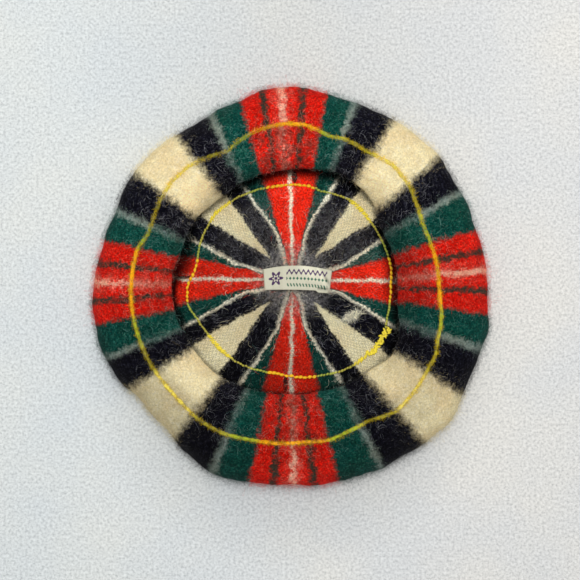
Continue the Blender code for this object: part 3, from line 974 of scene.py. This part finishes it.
def fibres(name, spots, inside, shape, comb=None, steps=3, colours=None):
    """Brushed fibres as thin curled ribbons that follow the knitting, in one piece.

    spots are the columns and rows that they grow from. shape is their length, their width, their
    height at the root, how much higher they rise, and how far a ribbon is turned out of the
    surface. comb is the spread of the fibres about the section's own direction, in radians, or None
    where they lie every way, or their direction on the grid and its spread."""
    length, width, root, rise, lean = shape
    column, row = spots
    count = len(column)
    roots = surface.place(column, row)
    if isinstance(comb, tuple):
        way = rng.normal(*comb, count)
    elif comb is None:
        way = 2 * np.pi * waves(roots, 0.012, 65) + rng.normal(0, 1.0, count)
    else:
        way = np.pi / 2 + np.pi * rng.integers(0, 2, count) + rng.normal(0, comb, count)
    wool = colours(roots) if colours else wool_colours(roots, inside)
    step = length * rng.uniform(0.6, 1.5, count) / steps
    curl = rng.normal(0, CURL, count) / 0.001
    lift = rise * rng.uniform(0.3, 1.6, count) * np.where(rng.random(count) < HIGH_SHARE, HIGH_RISE, 1.0)
    line, normals = [], []
    for k in range(steps + 1):
        normals.append(surface.normal(column, row))
        up = root + lift * math.sin(math.pi * min(0.15 + 0.75 * k / steps, 1))
        line.append(surface.place(column, row) + normals[-1] * up[:, None])
        sizes = surface.column_size, surface.row_size
        column = column + np.cos(way) * step / np.maximum(surface.at(sizes[0], column, row), 1e-4)
        row = row + np.sin(way) * step / np.maximum(surface.at(sizes[1], column, row), 1e-4)
        row = np.clip(row, 0, ROWS - 1)
        way = way + curl * step + rng.normal(0, 0.25, count)
    line, normals = np.stack(line, 1), np.stack(normals, 1)
    side = unit(np.cross(unit(np.gradient(line, axis=1)), normals))
    tilt = rng.normal(0, lean, count)[:, None, None]
    side = side * np.cos(tilt) + normals * np.sin(tilt)
    wide = width * rng.uniform(0.6, 1.4, count)[:, None, None] / 2
    taper = np.append(np.sin(np.linspace(0.7, 2.6, steps)), 0)[None, :, None]
    left, right = line - side * wide * taper, line + side * wide * taper
    body = np.stack((left[:, :-1], right[:, :-1]), 2).reshape(count, 2 * steps, 3)
    points = np.concatenate((body, line[:, -1:]), 1)
    points[..., 2] = np.maximum(points[..., 2], -UNDER_FLOOR)
    each = 2 * steps + 1
    first = np.arange(count)[:, None] * each
    quads = [first + 2 * k + np.array((0, 1, 3, 2)) for k in range(steps - 1)]
    tips = first + 2 * steps + np.array((-2, -1, 0))
    quads = np.concatenate(quads, 1).reshape(-1, 4)
    piece = mesh_piece(name, points.reshape(-1, 3), quads, nap, tips)
    clump = 0.05 * waves(roots, 0.0018, 63) + 0.08 * waves(roots, 0.0045, 61)
    clump = clump + 0.07 * waves(roots, 0.012, 62)
    creams = ("cream", "crown_cream", "cream_light", "tan", "white", "yellow")
    reds = ("red", "red_light", "red_deep", "crown_red", "pink", "rose", "dark")
    creamy, red = (np.isin(wool, [WOOLS[name] for name in names]) for names in (creams, reds))
    # Painted light and shade by place, and inside the crown painted shade in the crease under the lip, set
    # the fibres' tone
    deep = painted_shading_of(roots, inside, creamy, red) * 0.62 + (0.42 * crease_of(roots) if inside else 0)
    spread = np.where(creamy, 0.07, 0.13) * (1.3 if inside else 1)
    tone = 0.5 + spread * rng.normal(size=count) + clump * np.where(creamy, 0.35, 1) - deep
    tone = tone[:, None] + np.linspace(-0.12, 0.10, each)
    point_values(piece, wool=np.repeat((wool + 0.5) / len(PALETTE), each), tone=np.clip(tone, 0.02, 0.98))


def tube(name, paths, normals, widths, sides, material, flat, closed=False):
    """Round yarns along lines of points, with a radius at each point, all in one piece."""
    points, quads, start = [], [], 0
    turn = np.arange(sides) * 2 * np.pi / sides
    for line, normal, wide in zip(paths, normals, widths):
        steps = len(line)
        along = np.roll(line, -1, 0) - np.roll(line, 1, 0) if closed else np.gradient(line, axis=0)
        side = unit(np.cross(unit(along), normal))
        up = np.cross(side, unit(along))
        ring = line[:, None] + side[:, None] * (np.cos(turn) * wide[:, None])[..., None]
        ring = ring + up[:, None] * (np.sin(turn) * wide[:, None] * flat)[..., None]
        points.append(ring.reshape(-1, 3))
        i = np.arange(steps if closed else steps - 1)[:, None]
        k = np.arange(sides)
        here, after, beside = i * sides, (i + 1) % steps * sides, (k + 1) % sides
        corners = np.stack((here + k, here + beside, after + beside, after + k), -1)
        quads.append(corners.reshape(-1, 4) + start)
        start += steps * sides
    return mesh_piece(name, np.concatenate(points), np.concatenate(quads), material)


def yarn_line(at, radii, step, rows):
    """A yarn round the hat: its azimuths, columns and rows, places and normals."""
    azimuth = np.arange(0, 360, step)
    radius = np.interp(azimuth, at, radii, period=360)
    spots = surface.row_at_radius(azimuth, radius, *rows)
    return azimuth, *spots, surface.place(*spots), surface.normal(*spots)


def make_ring_yarn():
    """The yellow yarn knitted into the ring, half sunk in the milled wool, with its fuzz."""
    line = yarn_line(YARN_AT, YARN_RADIUS * SEEN_ON_CREST, 0.75, (EDGE_ROW, OUTER_ROWS - 1))
    azimuth, column, row, point, normal = line
    wide = YARN_HALF * (1 + 0.20 * waves(point, 0.009, 71) + 0.22 * waves(point, 0.003, 72))
    material = yarn_material("ring_yarn", YARN, 0.03)
    yarn = tube("ring_yarn", [point - normal * 0.0001], [normal], [wide], 8, material, 0.7, True)
    sunk = np.interp(azimuth, SUNK_AT, SUNK)
    point_values(yarn, stripe=np.repeat(ring_stripe(point), 8), sunk=np.repeat(sunk, 8))
    count = YARN_FIBRES
    pick = rng.integers(0, len(column), count)
    across = rng.normal(0, 0.42, count) / 1000 / surface.at(surface.row_size, column[pick], row[pick])
    spots = column[pick] + rng.uniform(0, 1, count), row[pick] + across

    def yellowish(roots):
        local = wool_colours(roots, False)
        share = np.where((local == WOOLS["black"]) | (local == WOOLS["green"]), 0.42, 0.72)
        share = share * (1 - np.interp(azimuth_of(roots) % 360, SUNK_AT, SUNK))
        return np.where(rng.random(len(roots)) < share, WOOLS["yellow"], local)

    shape = (0.0024, 0.00009, 0.0003, 0.0004, 0.6)
    fibres("yarn_nap", spots, False, shape, colours=yellowish)


def make_stitches():
    """The yellow stitches inside the crown: a rope over red, small ones over green and black, a
    ladder over cream, and the thick join."""
    stitch, thread = yarn_material("crown_yarn", STITCH, 0.012), yarn_material("crown_thread", THREAD, 0.012)
    rows = (CROWN_ROWS[0], ROWS - 2)
    line = yarn_line(STITCH_AT, STITCH_RADIUS * SEEN_ON_CROWN, 1.0, rows)
    azimuth, column, row, point, normal = line
    wide = np.full(len(point), THREAD_HALF)
    line = tube("crown_thread", [point + normal * 0.0001], [normal], [wide], 6, thread, 0.6, True)
    point_values(line, stripe=np.repeat(crown_stripe(point), 6))
    # By the stripe scale, in millimetres, the stitches' spacing, length and half thickness, and
    # their slant across the line
    places = (0, RED_END - 0.01, RED_END + 0.01, BLACK_END - 0.01, BLACK_END + 0.01, 1)
    spacing, length = (3.3, 3.3, 2.1, 2.1, 1.75, 1.75), (3.0, 3.0, 2.1, 2.1, 3.6, 3.6)
    slants, thick = (0.12, 0.12, 0.35, 0.35, 1.0, 1.0), (1.10, 1.10, 0.86, 0.86, 0.74, 0.74)
    paths, ups, stripes, widths = [], [], [], []
    t = np.linspace(-0.5, 0.5, 7)
    bulge = 0.45 + 0.55 * np.cos(np.pi * t)
    at = 0.0
    while at < 360:
        c = np.array([at * AZIMUTHS / 360])
        r = np.interp(c, column, row, period=AZIMUTHS)
        here = surface.place(c, r)
        stripe = crown_stripe(here)[0]
        if JOIN[0] < at < JOIN[1]:
            gap, reach, lean, wide = 0.50, 3.0, rng.choice((-0.8, 0.9)), 0.82
            side, lift, stripe = rng.normal(-0.8, 1.3) / 1000, 0.0009, 0.9
        else:
            gap = np.interp(stripe, places, spacing) * rng.uniform(0.85, 1.15)
            reach = np.interp(stripe, places, length) * rng.uniform(0.85, 1.15)
            lean = np.interp(stripe, places, slants) + rng.normal(0, 0.12)
            wide = np.interp(stripe, places, thick) * rng.uniform(0.85, 1.2)
            side, lift = rng.normal(0, 0.15) / 1000, 0.0006
        reach = t * reach / 1000
        cs = c + reach * math.cos(lean) / surface.at(surface.column_size, c, r)
        rs = r + (reach * math.sin(lean) + side) / surface.at(surface.row_size, c, r)
        up = surface.normal(cs, rs)
        paths.append(surface.place(cs, rs) + up * (0.0001 + lift * np.cos(t * np.pi))[:, None])
        ups.append(up)
        stripes.append(stripe)
        widths.append(wide / 1000 * bulge)
        at += math.degrees(gap / 1000 / radius_of(here[0]))
    stitches = tube("crown_stitches", paths, ups, widths, 6, stitch, 0.9)
    point_values(stitches, stripe=np.repeat(stripes, 6 * len(t)))


def make_crown_fuzz():
    """Pale loose wool inside the crown: matted at the centre, along the white lines and in the tuft, and
    more of it in the north half as painted light.
    """
    column, row = sown(FUZZ_SOWN, CROWN_ROWS)
    roots = surface.place(column, row)
    stripe = crown_stripe(roots)
    share = 0.05 + 0.5 * fade(0.012, 0.040, crown_reach(roots))
    share += 0.30 * fade(0.0, 0.07, np.abs(stripe - 0.52)) + 0.2 * (stripe < 0.08)
    # More pale fuzz in the north half, as painted light
    share += 0.30 * matting_and_north_light_of(roots, 0.6) * (stripe > RED_END) * (stripe < BLACK_END)
    kept = rng.random(len(column)) < share
    kept[np.cumsum(kept) > FUZZ_MOST] = False
    shape = (0.0030, 0.00008, 0.0002, 0.0006, 0.7)
    fibres("crown_fuzz", (column[kept], row[kept]), True, shape, colours=lighter(True, 0.6, 0.0010))
    shape = (0.0056, 0.00010, 0.0003, 0.0008, 0.7)
    fibres("crown_wisps", sown(6500, CROWN_ROWS), True, shape, 0.45, 5, lighter(True, 0.55, 0.0024))
    across = rng.normal(size=(TUFT_FIBRES, 2)) * 0.5 * TUFT_SIZE
    c, s = math.cos(TUFT_TURN), math.sin(TUFT_TURN)
    place = TUFT + np.stack((across[:, 0] * c - across[:, 1] * s, across[:, 0] * s + across[:, 1] * c), -1)
    spots = surface.row_at_radius(azimuth_of(place) % 360, radius_of(place), CROWN_ROWS[0], ROWS - 2)

    def tufty(roots):
        pale = [WOOLS[name] for name in ("cream_light", "white", "pale", "ash")]
        return rng.choice(pale, len(roots), p=(0.3, 0.4, 0.2, 0.1))

    shape = (0.0040, 0.00014, 0.0002, 0.0012, 0.6)
    fibres("crown_tuft", spots, True, shape, TUFT_WAY, 5, tufty)


def make_label():
    """The woven tape, arched between its two turned-under ends, with a fold and a slack corner."""
    low = LABEL_CAD_WALL / 2
    fold_place = LABEL_LENGTH / 2 - low - LABEL_FOLD
    angles = np.radians(-90 + 180 * np.arange(13) / 12)
    x = np.append(fold_place - LABEL_TUCK, fold_place + LABEL_FOLD * np.cos(angles))
    half = np.stack((x, np.append(low, low + LABEL_FOLD + LABEL_FOLD * np.sin(angles))), -1)
    x = fold_place * (1 - 2 * np.arange(1, 56) / 56)
    rise = LABEL_ARCH * (1 + np.cos(math.pi * x / fold_place)) / 2
    rise = rise + 0.00022 * np.sin(x * 420) + 0.00016 * np.sin(x * 1130 + 1)
    path = np.concatenate((half, np.stack((x, low + 2 * LABEL_FOLD + rise), -1), half[::-1] * (-1, 1)))
    across = np.linspace(-1, 1, 25)
    share = 2 * path[:, :1] / LABEL_LENGTH
    wide = LABEL_WIDTH / 2 * (1 - (1 - LABEL_END_SHARE) * share**2) * across
    x = path[:, :1] * (1 + LABEL_FLARE * across)
    y = wide + LABEL_BOW * (1 - share**2)
    z = path[:, 1:] + 0.00025 * across**2 * np.sin(path[:, :1] * 300 + 2 * across)
    on_top = path[:, 1:] > low + 1.9 * LABEL_FOLD
    fold = np.abs(x - 0.0180 - 0.40 * (0.002 - y)) / 0.0013
    z = z + on_top * 0.0012 * bell(fold) * smooth(-0.1, 0.9, -across)
    corner = smooth(0.0135, 0.0150, x) * fade(0.0215, 0.0228, x)
    tab = on_top * smooth(0.72, 0.86, -across) * corner
    y, z = y - 0.0014 * tab, z + 0.0007 * tab
    c, s = math.cos(LABEL_TURN), math.sin(LABEL_TURN)
    points = np.stack((x * c - y * s + LABEL_PLACE[0], x * s + y * c + LABEL_PLACE[1], z + LABEL_SEAT), -1)
    rows, count = x.shape
    i = np.arange(rows - 1)[:, None] * count + np.arange(count - 1)
    quads = np.stack((i, i + 1, i + count + 1, i + count), -1).reshape(-1, 4)
    points = points.reshape(-1, 3)
    label = mesh_piece("label_tape", points, quads, label_material())
    # Painted shadow under the fold's edge and in the corner's pocket, and painted light on the bulge and on
    # the ridge of the fold
    crease = 0.8 * bell((across + 0.74) / 0.07) * corner
    pocket_shadow = bell((x - 0.0212 + 0.55 * (y - 0.001)) / 0.0011) * bell((y - 0.0005) / 0.0030)
    bulge = bell((x - 0.010 + 0.6 * (y - 0.004)) / 0.0060) * smooth(-0.6, 0.6, across)
    ridge_highlight = bell((x - 0.0185 + 0.45 * y) / 0.0016) * smooth(-0.8, 0.2, across)
    point_values(label, crease=np.maximum(crease, 0.75 * pocket_shadow), bulge=np.maximum(bulge, ridge_highlight))
    point_values(label, along=x, across=wide)
    wall = label.modifiers.new("wall", "SOLIDIFY")
    wall.thickness = LABEL_WALL
    wall.offset = 0
    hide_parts("label")


def placed(name, data, place=(0, 0, 0)):
    thing = bpy.data.objects.new(name, data)
    bpy.context.scene.collection.objects.link(thing)
    thing.location = place
    return thing


def make_camera():
    """Straight above, with the photograph's frame: 414 mm wide at the height of the rolled edge."""
    camera = bpy.data.cameras.new("camera")
    distance, width = 0.50, 0.4136
    camera.sensor_width = 36
    camera.lens = 36 * distance / width
    camera.clip_start = 0.01
    place = (-0.00035, -0.0025, EDGE_HEIGHT + distance)
    bpy.context.scene.camera = placed("camera", camera, place)


def make_light():
    """Plain soft light from a large round window above, a little to the north."""
    world = bpy.data.worlds.new("studio")
    bpy.context.scene.world = world
    world.use_nodes = True
    back = world.node_tree.nodes["Background"]
    back.inputs["Color"].default_value = (0.97, 0.985, 1.0, 1)
    back.inputs["Strength"].default_value = 0.45
    light = bpy.data.lights.new("window", "AREA")
    light.shape = "DISK"
    light.size = 1.1
    light.energy = 19.5
    x, y, z = 0.02, 0.45, 1.60
    lamp = placed("window", light, (x, y, z))
    lamp.rotation_euler = (math.atan2(math.hypot(x, y), z), 0, math.atan2(x, -y))
    bpy.context.scene.view_settings.view_transform = "Standard"


def make_stage():
    mesh = bpy.data.meshes.new("floor")
    half = 3.0
    corners = [(-half, -half, 0), (half, -half, 0), (half, half, 0), (-half, half, 0)]
    mesh.from_pydata(corners, [], [(0, 1, 2, 3)])
    mesh.materials.append(stage_material())
    placed("floor", mesh)


make_camera()
make_light()
make_stage()
surface = Surface()
make_bonnet()
nap = nap_material()
RING_ROWS, EDGE_ROWS = (EDGE_ROW - 6, LIP_ROW + 2), (EDGE_ROW - 5, EDGE_ROW + 8)
INNER_ROWS, UNDER_ROWS = (CREST_ROW - 4, LIP_ROW + 2), (0, EDGE_ROW - 4)
ALL_CROWN = (CROWN_ROWS[0] - 4, CROWN_ROWS[1])
WISPS = (0.0055, 0.00007, 0.0003, 0.0012, 0.8)
# Name, count, rows, inside or not, and then what the fibres are like
NAPS = (
    ("ring_nap_a", 34000, RING_ROWS, False, (0.0024, 0.00010, 0.0, 0.0004, 0.6)),
    ("ring_nap_b", 34000, RING_ROWS, False, (0.0020, 0.00009, 0.0001, 0.0007, 0.8)),
    ("ring_wisps", 4500, INNER_ROWS, False, WISPS, None, 5, lighter(False, 0.75)),
    ("edge_nap", 25000, EDGE_ROWS, False, (0.0034, 0.00007, 0.0, 0.0024, 1.0)),
    ("crown_nap", 25000, ALL_CROWN, True, (0.0018, 0.00011, 0.0, 0.0003, 0.6), 0.9),
    ("under_nap", 4000, UNDER_ROWS, False, (0.0048, 0.00026, 0.0, 0.0004, 0.5)),
)
for name, count, rows, *settings in NAPS:
    fibres(name, sown(count, rows), *settings)
make_ring_yarn()
make_stitches()
make_crown_fuzz()
make_label()
